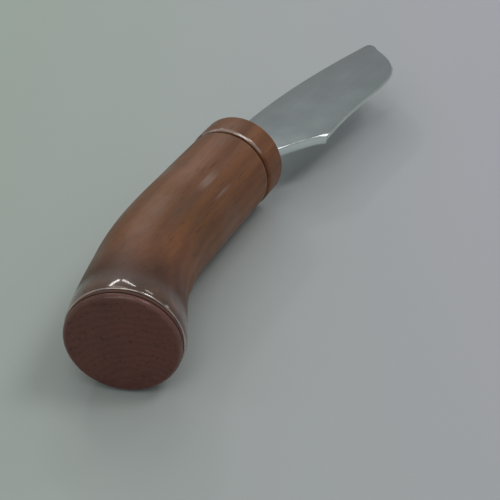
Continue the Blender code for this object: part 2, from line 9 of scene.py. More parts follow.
import bmesh
import bpy
from mathutils import Matrix, Vector
from mathutils.geometry import interpolate_bezier


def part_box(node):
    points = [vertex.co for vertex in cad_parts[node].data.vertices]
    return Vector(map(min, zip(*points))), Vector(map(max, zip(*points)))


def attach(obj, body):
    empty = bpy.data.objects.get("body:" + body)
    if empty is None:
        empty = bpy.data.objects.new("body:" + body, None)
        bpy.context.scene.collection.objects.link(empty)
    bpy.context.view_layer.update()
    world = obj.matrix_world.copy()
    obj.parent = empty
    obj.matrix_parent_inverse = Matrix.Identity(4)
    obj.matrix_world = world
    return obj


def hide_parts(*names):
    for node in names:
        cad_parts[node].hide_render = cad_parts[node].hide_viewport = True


MM = 0.001

# Grip and butt, as in the CAD
GRIP_LENGTH = 105.5 * MM
WAIST_RADIUS = 16.3 * MM
FLARE_HEIGHT = 2.35 * MM
FLARE_START = 0.69 * GRIP_LENGTH
FLARE_POWER = 1.3
CREST_AT = 0.933 * GRIP_LENGTH
CREST_FALL = 0.85 * MM
CREST_ROUND = 2.5 * MM
GRIP_FRONT_ROUND = 1.6 * MM
SWIVEL_GAP = 0.8 * MM
BEND = math.radians(23.2)
BEND_START = 0.33 * GRIP_LENGTH
BEND_END = 0.924 * GRIP_LENGTH
END_TURN = math.radians(5.8)
END_TURN_START = 0.75 * GRIP_LENGTH
END_TURN_END = 0.95 * GRIP_LENGTH
FIT_GAP = 0.3 * MM
CAP_THICKNESS = 1.8 * MM
CAP_RADIUS = 18.0 * MM
CAP_ROUND = 1.3 * MM
SPACER_THICKNESS = 1.0 * MM
SPACER_RADIUS = 18.1 * MM
SPIGOT_RADIUS = 7.7 * MM
SPIGOT_END = 9.0 * MM
STUD_HOLE_RADIUS = 2.3 * MM
INSERT_HOLE_RADIUS = 4.5 * MM
INSERT_HOLE_END = 19.9 * MM
DOWEL_HOLE_RADIUS = 1.5 * MM
DOWEL_OFFSET = 12.5 * MM
DOWEL_HOLE_START = 0.7 * MM
DOWEL_HOLE_END = 8.3 * MM
FRONT_BORE_RADIUS = 10.5 * MM
FRONT_BORE_END = -44.0 * MM
REAR_BORE_RADIUS = 8.0 * MM
REAR_BORE_END = -56.0 * MM

# Collar and blade, as in the CAD
COLLAR_RADIUS = 16.6 * MM
COLLAR_LENGTH = 11.0 * MM
COLLAR_FRONT_ROUND = 0.8 * MM
COLLAR_WEB = 3.0 * MM
COLLAR_BORE = 6.9 * MM
PIN_AT = 4.9 * MM
PIN_HOLE_RADIUS = 1.55 * MM
BLADE_THICKNESS = 3.4 * MM
TANG_HALF_WIDTH = 6.2 * MM
TANG_END = 2.0 * MM
SHOULDER_AT = COLLAR_LENGTH + FIT_GAP
EDGE_LAND = 0.3 * MM
TOP_BEVEL_WIDTH = 0.6 * MM
TOP_BEVEL_DEPTH = 0.5 * MM
UNDER_BEVEL_WIDTH = 2.8 * MM
BEVEL_RUN_OUT = 10

# Rounds that only these finer pieces have
BUTT_EDGE_ROUND = 0.45 * MM
CAP_FRONT_ROUND = 0.3 * MM
SPACER_ROUND = CAP_FRONT_ROUND / 2
COLLAR_REAR_ROUND = 1.2 * MM
BACK_ROUND = 0.5 * MM

# Wear, from 0 to 1, and how far it reaches along the grip
FRONT_WEAR_REACH = 2.2 * MM
CREST_WEAR = 0.45
CREST_WEAR_REACH = 3.0 * MM
REAR_WEAR_REACH = 0.8 * MM
CAP_REAR_WEAR = 0.7
CAP_FRONT_WEAR = 0.6
SPACER_WEAR = 0.3
COLLAR_FRONT_WEAR = 0.8
RIM_WEAR = 0.5

# The upper side of the collar, where its rims keep their wear, polish and pale painted highlight, as turns
# from up toward -Y
HIGHLIGHT_SIDE_MIDDLE = math.radians(4)
HIGHLIGHT_SIDE_HALF_ANGLE = math.radians(56)
HIGHLIGHT_SIDE_FADE = math.radians(14)

# Lacquer, polished by the palm near the front and thick on the flare, and painted shade that darkens the
# wood toward the butt
POLISH_START = 89 * MM
POLISH_END = 97 * MM
PALM_AT = 31 * MM
PALM_REACH = 9 * MM
PALM_POLISH = 0.2
BODY_COAT = 0.015
RIM_COAT = 1.0
PAINTED_SHADE_START = 66 * MM
PAINTED_SHADE_END = 94 * MM
# Painted shade: the cooler, darker tint of the wood toward the butt
PAINTED_SHADE_TINT = (0.42, 0.43, 0.53)
MOTTLE_TINTS = ((0.86, 0.9, 0.84), (1.1, 1.04, 1.06))
NO_TINT = (1.0, 1.0, 1.0)

# Colours
PALE_WOOD = (0.235, 0.095, 0.038)
DARK_WOOD = (0.14, 0.055, 0.024)
PORE = (0.035, 0.016, 0.01)
RUBBED_WOOD = (0.3, 0.15, 0.08)
# Rims: partly rubbed wood, partly a pale painted highlight
RUBBED_RIM_AND_PAINTED_HIGHLIGHT = (0.6, 0.38, 0.27)
RIM_GLOSS = {"Coat_IOR": 3.8, "IOR": 2.2, "Specular_Tint": (1.0, 0.7, 0.5, 1.0)}
# The table's two tints, which stand in for coloured light falling across it: painted light
TABLE_PAINTED_GREEN_LIGHT = (0.45, 0.528, 0.478)
TABLE_PAINTED_LILAC_LIGHT = (0.5, 0.5, 0.558)
TABLE_FLECK = (0.4, 0.42, 0.42)

# Fineness of the meshes
SIDES = 144
STATIONS = 150
ROUND_STEPS = 8
CENTRELINE_STEPS = 120
TIP_STEPS = 8
CHOIL_STEPS = 16
HEEL_STEPS = 24
LONG_STEPS = 28
CAP_FACE_RING = 4 * MM
CUT_MARGIN = 4 * MM
SHARP_ANGLE = math.radians(30)
FLAT_NORMAL = 0.999
MERGE = 1e-7
NODE_MERGE = MM / 1000

# Camera, from the centre of the collar's rear face
CAMERA_OFFSET = Vector((-0.31211, -0.15404, 0.2073))
CAMERA_DOWN = math.radians(34.92)
CAMERA_HEADING = math.radians(25.0)
CAMERA_LENS = 79.2

# Light
TABLE_REACH = 4.0
SKY_COLOUR = (0.97, 1.0, 0.99)
SKY_STRENGTH = 0.275
LIGHT_DISTANCE = 1.3
LIGHT_COLOUR = (1.0, 0.98, 0.96)
# Each softbox: its name, the directions of its two ends as degrees (from +X toward +Y, above the horizon),
# its width in metres and its power in watts
SOFTBOXES = (
    ("key", (-54, 50), (-74, 68), 0.3, 3.2),
    ("top", (22, 68), (-36, 66), 0.2, 0.4),
    ("panel", (58, 44), (28, 62), 0.2, 0.55),
    ("strip_left", (39, 34), (57, 40), 0.075, 1.1),
    ("strip_right", (35, 35), (12, 47), 0.075, 1.0),
    ("glint_high", (-20, 38), (-5, 42), 0.1, 0.42),
    ("glint_low", (-37, 15), (-37, 21), 0.07, 0.16),
    ("fill_near", (-165, 48), (-165, 72), 0.5, 1.4),
    ("fill_low", (176, 24), (176, 42), 0.5, 0.7),
    ("fill_left", (115, 20), (108, 60), 0.06, 0.3),
)

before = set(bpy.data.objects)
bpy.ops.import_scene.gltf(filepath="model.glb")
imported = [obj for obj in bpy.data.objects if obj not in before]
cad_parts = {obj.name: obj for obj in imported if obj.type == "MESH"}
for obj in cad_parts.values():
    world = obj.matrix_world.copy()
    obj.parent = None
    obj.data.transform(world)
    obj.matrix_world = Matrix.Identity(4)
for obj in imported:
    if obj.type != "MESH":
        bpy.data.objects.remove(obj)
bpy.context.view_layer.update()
collar_low, collar_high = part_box("collar")
collar_middle = (collar_low + collar_high) / 2
AXIS_START = Vector((collar_low.x, collar_middle.y, collar_middle.z))


# Shader building


def put(look, kind, inputs, **settings):
    """Adds a shader node. Inputs are values, or sockets to link from."""
    node = look.node_tree.nodes.new(kind)
    for key, value in settings.items():
        setattr(node, key, value)
    for key, value in inputs.items():
        if isinstance(value, bpy.types.NodeSocket):
            look.node_tree.links.new(value, node.inputs[key])
        else:
            node.inputs[key].default_value = value
    return node


def new_look(name, **sockets):
    """A material with one Principled shader, and the values set on that shader's own sockets."""
    look = bpy.data.materials.new(name)
    look.use_nodes = True
    shader = look.node_tree.nodes["Principled BSDF"]
    for key, value in sockets.items():
        shader.inputs[key.replace("_", " ")].default_value = value
    return look, shader


def stretched(look, scale, place=(0.0, 0.0, 0.0), turn=(0.0, 0.0, 0.0)):
    """The piece's own coordinates, scaled, then turned, then moved."""
    coordinates = put(look, "ShaderNodeTexCoord", {}).outputs["Object"]
    inputs = {"Vector": coordinates, "Location": place, "Rotation": turn, "Scale": scale}
    return put(look, "ShaderNodeMapping", inputs).outputs["Vector"]


def noise(look, vector, detail=3.0, roughness=0.55, distortion=0.0):
    """Noise with about one cell to each unit of the vector."""
    inputs = {
        "Vector": vector,
        "Scale": 1.0,
        "Detail": detail,
        "Roughness": roughness,
        "Distortion": distortion,
    }
    return put(look, "ShaderNodeTexNoise", inputs).outputs["Fac"]


def growth_rings(look, vector, scale, distortion, detail, detail_scale):
    """Rings about X."""
    inputs = {
        "Vector": vector,
        "Scale": scale,
        "Distortion": distortion,
        "Detail": detail,
        "Detail Scale": detail_scale,
    }
    wave = put(look, "ShaderNodeTexWave", inputs, wave_type="RINGS", rings_direction="X")
    return wave.outputs["Fac"]


def ranged(look, value, low, high, to_low=0.0, to_high=1.0):
    """The value's range from low to high, stretched to the other range and clamped."""
    inputs = {"Value": value, "From Min": low, "From Max": high, "To Min": to_low, "To Max": to_high}
    return put(look, "ShaderNodeMapRange", inputs, clamp=True).outputs["Result"]


def maths(look, operation, first, second):
    return put(look, "ShaderNodeMath", {0: first, 1: second}, operation=operation).outputs[0]


def weighted(look, *terms):
    """The sum of (value, weight) terms."""
    parts = [maths(look, "MULTIPLY", value, weight) for value, weight in terms]
    total = parts[0]
    for part in parts[1:]:
        total = maths(look, "ADD", total, part)
    return total


def blended(look, factor, first, second, blend_type="MIX"):
    """A colour between two colours, each a value or a socket."""

    def colour(value):
        return value if isinstance(value, bpy.types.NodeSocket) else (*value, 1.0)

    inputs = {0: factor, 6: colour(first), 7: colour(second)}
    return put(look, "ShaderNodeMix", inputs, data_type="RGBA", blend_type=blend_type).outputs[2]


def finish_look(look, shader, colour, roughness, height, strength, distance):
    """Links the colour, the roughness and a bump of the height into the shader."""
    links = look.node_tree.links
    bump = put(look, "ShaderNodeBump", {"Height": height, "Strength": strength, "Distance": distance})
    links.new(colour, shader.inputs["Base Color"])
    links.new(roughness, shader.inputs["Roughness"])
    links.new(bump.outputs["Normal"], shader.inputs["Normal"])
    return look


def mesh_value(look, name):
    """A value that skin writes on a mesh: wear, polish or the painted shade toward the butt. It is 0 on
    the CAD's own nodes.
    """
    attribute = put(look, "ShaderNodeAttribute", {}, attribute_name=name, attribute_type="GEOMETRY")
    return attribute.outputs["Fac"]


def wear_mask(look):
    """Rubbed rims, and on wood_rim their pale painted highlight: the mesh's own wear values, broken up by
    noise.
    """
    cells = noise(look, stretched(look, (160, 160, 160)), detail=4.0)
    return maths(look, "MULTIPLY", mesh_value(look, "wear"), ranged(look, cells, 0.36, 0.62))


# Materials


def new_wood(name, **sockets):
    """A wood's start: a lacquer coat as thick as the mesh's polish values say."""
    look, shader = new_look(name, Coat_Roughness=0.09, Specular_IOR_Level=0.3, **sockets)
    coat = ranged(look, mesh_value(look, "polish"), 0.0, 1.0, BODY_COAT, RIM_COAT)
    look.node_tree.links.new(coat, shader.inputs["Coat Weight"])
    return look, shader


def make_wood(name, pale, dark, pore, edge_tone, **sockets):
    """Close-grained lacquered hardwood, with its grain along X."""
    look, shader = new_wood(name, **sockets)
    figure = noise(look, stretched(look, (11, 150, 120)), detail=4.0, roughness=0.6, distortion=0.6)
    fibre = noise(look, stretched(look, (42, 1150, 1150)), detail=4.0, roughness=0.6)
    mottle = noise(look, stretched(look, (26, 34, 34), place=(3.0, 1.0, 2.0)), detail=2.0)
    log = stretched(look, (0.35, 1.0, 1.0), place=(0.0, 0.011, 0.045), turn=(0.0, 0.09, 0.05))
    rings = growth_rings(look, log, scale=62.0, distortion=2.2, detail=2.0, detail_scale=1.4)
    grain = weighted(look, (figure, 0.55), (fibre, 0.25), (rings, 0.12))
    colour = blended(look, ranged(look, grain, 0.3, 0.62), dark, pale)
    patchy = blended(look, ranged(look, mottle, 0.3, 0.7), *MOTTLE_TINTS)
    colour = blended(look, 1.0, colour, patchy, "MULTIPLY")
    # Painted shade: the wood darkens and cools toward the butt
    painted_shade = blended(look, mesh_value(look, "tone_shift"), NO_TINT, PAINTED_SHADE_TINT)
    colour = blended(look, 1.0, colour, painted_shade, "MULTIPLY")
    pores = ranged(look, noise(look, stretched(look, (130, 2100, 2100)), detail=2.0), 0.6, 0.7)
    colour = blended(look, maths(look, "MULTIPLY", pores, 0.55), colour, pore)
    edge_mask = wear_mask(look)
    # Rubbed edges, and on wood_rim a pale painted highlight on the rims
    colour = blended(look, maths(look, "MULTIPLY", edge_mask, 0.6), colour, edge_tone)
    smudges = noise(look, stretched(look, (75, 60, 60), place=(1.0, 5.0, 2.0)), detail=4.0, roughness=0.6)
    roughness = ranged(look, smudges, 0.3, 0.7, 0.34, 0.52)
    roughness = maths(look, "SUBTRACT", roughness, maths(look, "MULTIPLY", edge_mask, 0.1))
    height = maths(look, "SUBTRACT", maths(look, "MULTIPLY", fibre, 0.4), pores)
    return finish_look(look, shader, colour, roughness, height, strength=0.16, distance=0.06 * MM)


def make_end_wood(name, pale, dark, pore, edge_tone):
    """The same wood cut across: growth rings, rays and open pores."""
    look, shader = new_wood(name)
    log = stretched(look, (1.0, 1.0, 1.0), place=(0.0, 0.014, 0.004))
    rings = growth_rings(look, log, scale=130.0, distortion=7.0, detail=3.0, detail_scale=0.8)
    clouded = stretched(look, (60, 60, 60), place=(2.0, 0.0, 1.0))
    cloud = noise(look, clouded, detail=4.0, roughness=0.6, distortion=0.4)
    rays = noise(look, stretched(look, (90, 240, 1500), turn=(0.35, 0.0, 0.0)), detail=2.0)
    grain = weighted(look, (rings, 0.12), (cloud, 0.66), (rays, 0.22))
    colour = blended(look, ranged(look, grain, 0.25, 0.75), dark, pale)
    pores = ranged(look, noise(look, stretched(look, (900, 900, 900))), 0.58, 0.68)
    colour = blended(look, maths(look, "MULTIPLY", pores, 0.5), colour, pore)
    colour = blended(look, maths(look, "MULTIPLY", wear_mask(look), 0.5), colour, edge_tone)
    roughness = ranged(look, cloud, 0.3, 0.7, 0.38, 0.56)
    height = maths(look, "SUBTRACT", maths(look, "MULTIPLY", rings, 0.3), pores)
    return finish_look(look, shader, colour, roughness, height, strength=0.14, distance=0.06 * MM)


def make_satin_steel(name, pale, dark, smooth_end, rough_end, strength):
    """Steel with very fine finishing lines along X and a faint patina."""
    look, shader = new_look(name, Metallic=1.0)
    lines = noise(look, stretched(look, (60, 5200, 5200)))
    tone_shift = noise(look, stretched(look, (55, 70, 70), place=(4.0, 2.0, 0.0)), detail=5.0, roughness=0.6)
    tone = weighted(look, (lines, 0.25), (tone_shift, 0.75))
    colour = blended(look, ranged(look, tone, 0.3, 0.7), dark, pale)
    rough = weighted(look, (lines, 0.4), (tone_shift, 0.6))
    roughness = ranged(look, rough, 0.35, 0.65, smooth_end, rough_end)
    return finish_look(look, shader, colour, roughness, lines, strength, distance=0.01 * MM)


def make_turned_metal(name, pale, dark, smooth_end, rough_end):
    """Metal turned on a lathe: fine rings round X, with patches of dullness."""
    look, shader = new_look(name, Metallic=1.0)
    rings = noise(look, stretched(look, (2800, 35, 35)))
    cloud = noise(look, stretched(look, (140, 140, 140), place=(1.0, 3.0, 5.0)), detail=4.0, roughness=0.6)
    tone = weighted(look, (rings, 0.4), (cloud, 0.6))
    colour = blended(look, ranged(look, tone, 0.35, 0.65), dark, pale)
    roughness = ranged(look, tone, 0.35, 0.65, smooth_end, rough_end)
    return finish_look(look, shader, colour, roughness, rings, strength=0.12, distance=0.03 * MM)


def make_soft_dark(name, pale, dark, grain_scale, strength, **sockets):
    """Felt and pressed fibre: matt, with loose short fibres."""
    look, shader = new_look(name, **sockets)
    fine = stretched(look, (grain_scale,) * 3)
    fibres = noise(look, fine, detail=5.0, roughness=0.7, distortion=1.2)
    cloud = noise(look, stretched(look, (grain_scale / 12,) * 3, place=(7.0, 1.0, 0.0)))
    tone = weighted(look, (fibres, 0.6), (cloud, 0.4))
    colour = blended(look, ranged(look, tone, 0.35, 0.65), dark, pale)
    roughness = ranged(look, fibres, 0.3, 0.7, 0.7, 0.92)
    return finish_look(look, shader, colour, roughness, fibres, strength, distance=0.1 * MM)


def make_table_look():
    """A pale matt table top with painted light: its tint drifts slowly from green to lilac across the
    view, standing in for coloured light.
    """
    look, shader = new_look("table", Roughness=0.9, Specular_IOR_Level=0.12)
    across = (math.sin(CAMERA_HEADING), -math.cos(CAMERA_HEADING), 0.0)
    place = put(look, "ShaderNodeTexCoord", {}).outputs["Object"]
    run = put(look, "ShaderNodeVectorMath", {0: place, 1: across}, operation="DOT_PRODUCT")
    drift = noise(look, stretched(look, (5, 5, 5)), detail=2.0)
    painted_light_drift = maths(look, "ADD", run.outputs["Value"], maths(look, "MULTIPLY", drift, 0.06))
    # Painted light: the tint drifts from green to lilac across the view
    colour = blended(look, ranged(look, painted_light_drift, -0.1, 0.16), TABLE_PAINTED_GREEN_LIGHT, TABLE_PAINTED_LILAC_LIGHT)
    fine = noise(look, stretched(look, (420, 420, 420)))
    colour = blended(look, ranged(look, fine, 0.3, 0.7, 0.0, 0.03), colour, TABLE_FLECK)
    look.node_tree.links.new(colour, shader.inputs["Base Color"])
    return look


LOOKS = {
    "wood": make_wood("wood", PALE_WOOD, DARK_WOOD, PORE, RUBBED_WOOD),
    "wood_rim": make_wood("wood_rim", PALE_WOOD, DARK_WOOD, PORE, RUBBED_RIM_AND_PAINTED_HIGHLIGHT, **RIM_GLOSS),
    "end_wood": make_end_wood(
        "end_wood", (0.17, 0.064, 0.05), (0.1, 0.039, 0.033), (0.028, 0.013, 0.011), (0.2, 0.1, 0.07)
    ),
    "blade_steel": make_satin_steel(
        "blade_steel", (0.52, 0.575, 0.59), (0.495, 0.55, 0.565), 0.17, 0.23, strength=0.04
    ),
    "ground_steel": make_satin_steel(
        "ground_steel", (0.8, 0.88, 0.85), (0.74, 0.82, 0.79), 0.14, 0.2, strength=0.01
    ),
    "bright_steel": make_turned_metal("bright_steel", (0.6, 0.6, 0.61), (0.5, 0.5, 0.52), 0.14, 0.26),
    "brass": make_turned_metal("brass", (0.72, 0.47, 0.17), (0.5, 0.31, 0.1), 0.18, 0.34),
    "bronze": make_turned_metal("bronze", (0.46, 0.24, 0.11), (0.3, 0.15, 0.07), 0.26, 0.42),
    "fibre": make_soft_dark("fibre", (0.13, 0.06, 0.042), (0.08, 0.036, 0.028), 1400, 0.2),
    "felt": make_soft_dark("felt", (0.16, 0.15, 0.14), (0.07, 0.065, 0.06), 1900, 0.6, Sheen_Weight=0.5),
}


# Mesh building


def smoothstep(value):
    clamped = min(max(value, 0.0), 1.0)
    return clamped * clamped * (3 - 2 * clamped)


def shown(bm, name, body, stands_for, looks):
    """Turns the bmesh into a piece that rides on a body in place of its CAD node.

    The first look covers it, and the second, if there is one, its rims, which on the wood are rubbed and
    carry a pale painted highlight.
    """
    bmesh.ops.remove_doubles(bm, verts=bm.verts, dist=MERGE)
    bmesh.ops.recalc_face_normals(bm, faces=bm.faces)
    mesh = bpy.data.meshes.new(name)
    bm.to_mesh(mesh)
    bm.free()
    made = bpy.data.objects.new(name, mesh)
    bpy.context.scene.collection.objects.link(made)
    for look in looks:
        mesh.materials.append(LOOKS[look])
    wear = mesh.attributes["wear"].data
    for face in mesh.polygons:
        if len(looks) > 1 and min(wear[i].value for i in face.vertices) > RIM_WEAR:
            face.material_index = 1
    smooth(made)
    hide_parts(stands_for)
    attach(made, body)
    return made


def smooth(target):
    for face in target.data.polygons:
        face.use_smooth = True
    target.data.set_sharp_from_angle(angle=SHARP_ANGLE)


def turned_rings(profile, placed, sides=SIDES):
    """Rings of points from (x, radius, wear) rows, about the X axis of the matrix placed."""
    turns = [2 * math.pi * i / sides for i in range(sides)]
    rings = []
    for x, radius, wear in profile:
        ring = [placed @ Vector((x, radius * math.cos(t), radius * math.sin(t))) for t in turns]
        rings.append((ring, wear))
    return rings


def skin(rings, cap_start=False, cap_end=False, join_ends=False):
    """Quads between rings of equal length, with the mesh values that the materials read.

    Each ring is (points, wear), or (points, wear, polish, tone shift), where the tone shift is the painted
    shade toward the butt. Polish follows wear if it isn't given.
    """
    bm = bmesh.new()
    layers = [bm.verts.layers.float.new(name) for name in ("wear", "polish", "tone_shift")]
    rows = []
    for points, wear, *others in rings:
        row = [bm.verts.new(point) for point in points]
        polish, tone_shift = others or (wear, 0.0)
        for vertex in row:
            for layer, value in zip(layers, (wear, polish, tone_shift)):
                vertex[layer] = value
        rows.append(row)
    pairs = list(zip(rows, rows[1:]))
    if join_ends:
        pairs.append((rows[-1], rows[0]))
    for near, far in pairs:
        for i in range(len(near)):
            j = (i + 1) % len(near)
            bm.faces.new((near[i], near[j], far[j], far[i]))
    if cap_start:
        bm.faces.new(rows[0])
    if cap_end:
        bm.faces.new(rows[-1])
    return bm


def corner(x, radius, size, turn, wear):
    """Rows of a quarter round on an outer corner, from -X to +X. turn is +1 if the corner faces +X."""
    rows = []
    for step in range(ROUND_STEPS + 1):
        a = math.pi / 2 * step / ROUND_STEPS
        inset = size * (1 - math.sin(a))
        drop = size * (1 - math.cos(a))
        rows.append((x - turn * inset, radius - drop, wear * math.sin(2 * a)))
    return rows if turn > 0 else rows[::-1]


def carve(target, bm_cutter):
    """Cuts a closed bmesh out of the target."""
    bmesh.ops.recalc_face_normals(bm_cutter, faces=bm_cutter.faces)
    mesh = bpy.data.meshes.new("cutter")
    bm_cutter.to_mesh(mesh)
    bm_cutter.free()
    cutter = bpy.data.objects.new("cutter", mesh)
    bpy.context.scene.collection.objects.link(cutter)
    modifier = target.modifiers.new("cut", "BOOLEAN")
    modifier.operation = "DIFFERENCE"
    modifier.object = cutter
    bpy.context.view_layer.update()
    graph = bpy.context.evaluated_depsgraph_get()
    result = bpy.data.meshes.new_from_object(target.evaluated_get(graph))
    target.modifiers.clear()
    target.data = result
    bpy.data.objects.remove(cutter)
    smooth(target)


def rod_cutter(placed, start, end, radius):
    """A rod along the X axis of the matrix placed."""
    return skin(turned_rings([(start, radius, 0.0), (end, radius, 0.0)], placed, SIDES // 3), True, True)


def box_cutter(low, high):
    bm = bmesh.new()
    bmesh.ops.create_cube(bm, size=1)
    place = Matrix.LocRotScale((low + high) / 2, None, high - low)
    bmesh.ops.transform(bm, matrix=place, verts=bm.verts)
    return bm


# Grip and butt


def heading_at(along):
    """How far the grip's centreline has bent from -X."""
    return BEND * smoothstep((along - BEND_START) / (BEND_END - BEND_START))


def section_heading(along):
    """The heading that the grip's cross sections face, which turn back a little near the butt."""
    turn_back = END_TURN * smoothstep((along - END_TURN_START) / (END_TURN_END - END_TURN_START))
    return heading_at(along) - turn_back


def centreline(along):
    """A point of the grip's centreline, which follows the sections' heading past END_TURN_END."""
    point = Vector((0, 0, 0))
    length = along / CENTRELINE_STEPS
    for step in range(CENTRELINE_STEPS):
        place = (step + 0.5) * length
        heading = section_heading(place) if place > END_TURN_END else heading_at(place)
        point -= length * Vector((math.cos(heading), math.sin(heading), 0))
    return point


def grip_radius(along):
    flare = min(max((along - FLARE_START) / (CREST_AT - FLARE_START), 0.0), 1.0)
    past_crest = max(along - CREST_AT, 0.0) / (GRIP_LENGTH - CREST_AT)
    depth = SWIVEL_GAP + GRIP_FRONT_ROUND - along
    front_round = GRIP_FRONT_ROUND - math.sqrt(max(GRIP_FRONT_ROUND**2 - max(depth, 0.0) ** 2, 0.0))
    return WAIST_RADIUS + FLARE_HEIGHT * flare**FLARE_POWER - CREST_FALL * past_crest**2 - front_round


def rounded_radius(along):
    """The grip's radius with the crest of the flare rounded over."""
    if along < FLARE_START:
        return grip_radius(along)
    offsets = [CREST_ROUND * (2 * i / ROUND_STEPS - 1) for i in range(ROUND_STEPS + 1)]
    return sum(grip_radius(along + offset) for offset in offsets) / len(offsets)


def grip_wear(along, end):
    """Wear gathers on the front edge, on the crest of the flare and on the rear edge."""
    front = 1 - smoothstep((along - SWIVEL_GAP) / FRONT_WEAR_REACH)
    crest = CREST_WEAR * (1 - smoothstep(abs(along - CREST_AT) / CREST_WEAR_REACH))
    rear = 1 - smoothstep((end - along) / REAR_WEAR_REACH)
    return max(front, crest, rear)


def grip_ring(along, radius, wear):
    """One cross section of the grip, as a ring for skin."""
    centre = AXIS_START + centreline(along)
    heading = section_heading(along)
    side = Vector((-math.sin(heading), math.cos(heading), 0))
    up = Vector((0, 0, 1))
    turns = [2 * math.pi * i / SIDES for i in range(SIDES)]
    points = [centre + radius * (math.cos(t) * side + math.sin(t) * up) for t in turns]
    near_end = smoothstep((along - POLISH_START) / (POLISH_END - POLISH_START))
    palm = PALM_POLISH * smoothstep(1 - abs(along - PALM_AT) / PALM_REACH)
    # Painted shade, growing toward the butt
    tone_shift = smoothstep((along - PAINTED_SHADE_START) / (PAINTED_SHADE_END - PAINTED_SHADE_START))
    return points, wear, max(wear, near_end, palm), tone_shift


on_axis = Matrix.Translation(AXIS_START)
pin_place = on_axis @ Matrix.Translation((PIN_AT, 0, 0)) @ Matrix.Rotation(math.pi / 2, 4, "Y")
butt = Matrix.Translation(AXIS_START + centreline(GRIP_LENGTH)) @ Matrix.Rotation(
    section_heading(GRIP_LENGTH), 4, "Z"
)
dowel_place = butt @ Matrix.Translation((0, DOWEL_OFFSET, 0))


def make_grip():
    end = GRIP_LENGTH - CAP_THICKNESS - SPACER_THICKNESS - 2 * FIT_GAP
    bore = [
        (REAR_BORE_END, REAR_BORE_RADIUS, 0.0),
        (FRONT_BORE_END, REAR_BORE_RADIUS, 0.0),
        (FRONT_BORE_END, FRONT_BORE_RADIUS, 0.0),
        (-SWIVEL_GAP, FRONT_BORE_RADIUS, 0.0),
    ]
    rings = turned_rings(bore, on_axis)
    quarter = [math.pi / 2 * i / ROUND_STEPS for i in range(ROUND_STEPS + 1)]
    alongs = [SWIVEL_GAP + GRIP_FRONT_ROUND * (1 - math.cos(a)) for a in quarter[:-1]]
    start = SWIVEL_GAP + GRIP_FRONT_ROUND
    last = end - BUTT_EDGE_ROUND
    alongs += [start + (last - start) * i / STATIONS for i in range(STATIONS + 1)]
    rings += [grip_ring(along, rounded_radius(along), grip_wear(along, end)) for along in alongs]
    for a in quarter[1:]:
        along = last + BUTT_EDGE_ROUND * math.sin(a)
        drop = BUTT_EDGE_ROUND * (1 - math.cos(a))
        rings.append(grip_ring(along, rounded_radius(along) - drop, 1.0))
    face = GRIP_LENGTH - end
    hole = [
        (face, SPIGOT_RADIUS + FIT_GAP, 0.0),
        (SPIGOT_END + FIT_GAP, SPIGOT_RADIUS + FIT_GAP, 0.0),
        (SPIGOT_END + FIT_GAP, INSERT_HOLE_RADIUS, 0.0),
        (INSERT_HOLE_END, INSERT_HOLE_RADIUS, 0.0),
    ]
    rings += turned_rings(hole, butt)
    grip = shown(skin(rings, True, True), "grip_wood", "handle", "grip", ["wood", "wood_rim"])
    carve(grip, rod_cutter(dowel_place, face - CUT_MARGIN, DOWEL_HOLE_END, DOWEL_HOLE_RADIUS))


def make_cap():
    profile = [(0.0, CAP_RADIUS - CAP_ROUND - CAP_FACE_RING, 0.0)]
    profile += corner(0.0, CAP_RADIUS, CAP_ROUND, -1, CAP_REAR_WEAR)
    profile += corner(CAP_THICKNESS, CAP_RADIUS, CAP_FRONT_ROUND, 1, CAP_FRONT_WEAR)
    profile += [
        (CAP_THICKNESS, SPIGOT_RADIUS, 0.0),
        (SPIGOT_END, SPIGOT_RADIUS, 0.0),
        (SPIGOT_END, STUD_HOLE_RADIUS, 0.0),
        (CAP_THICKNESS, STUD_HOLE_RADIUS, 0.0),
    ]
    bm = skin(turned_rings(profile, butt), True, True)
    cap = shown(bm, "butt_cap", "handle", "pommel_cap", ["end_wood"])
    hole_end = CAP_THICKNESS + CUT_MARGIN / 2
    carve(cap, rod_cutter(dowel_place, DOWEL_HOLE_START, hole_end, DOWEL_HOLE_RADIUS))


def make_spacer():
    start = CAP_THICKNESS + FIT_GAP
    end = start + SPACER_THICKNESS
    rows = [(start, SPIGOT_RADIUS + FIT_GAP, 0.0)]
    rows += corner(start, SPACER_RADIUS, SPACER_ROUND, -1, SPACER_WEAR)
    rows += corner(end, SPACER_RADIUS, SPACER_ROUND, 1, SPACER_WEAR)
    rows += [(end, SPIGOT_RADIUS + FIT_GAP, 0.0)]
    bm = skin(turned_rings(rows, butt), join_ends=True)
    spacer = shown(bm, "butt_spacer", "handle", "pommel_spacer", ["fibre"])
    carve(spacer, rod_cutter(dowel_place, start - CUT_MARGIN, end + CUT_MARGIN, DOWEL_HOLE_RADIUS))


# Collar and blade


def keep_painted_highlight_side(bm):
    """Fades wear and polish out, and with the wear the rims' pale painted highlight, except on the upper
    side of the collar, where the light catches its rims.
    """
    layers = [bm.verts.layers.float[name] for name in ("wear", "polish")]
    for vertex in bm.verts:
        offset = vertex.co - AXIS_START
        turn = math.atan2(-offset.y, offset.z)
        share = smoothstep((HIGHLIGHT_SIDE_HALF_ANGLE - abs(turn - HIGHLIGHT_SIDE_MIDDLE)) / HIGHLIGHT_SIDE_FADE)
        for layer in layers:
            vertex[layer] *= share


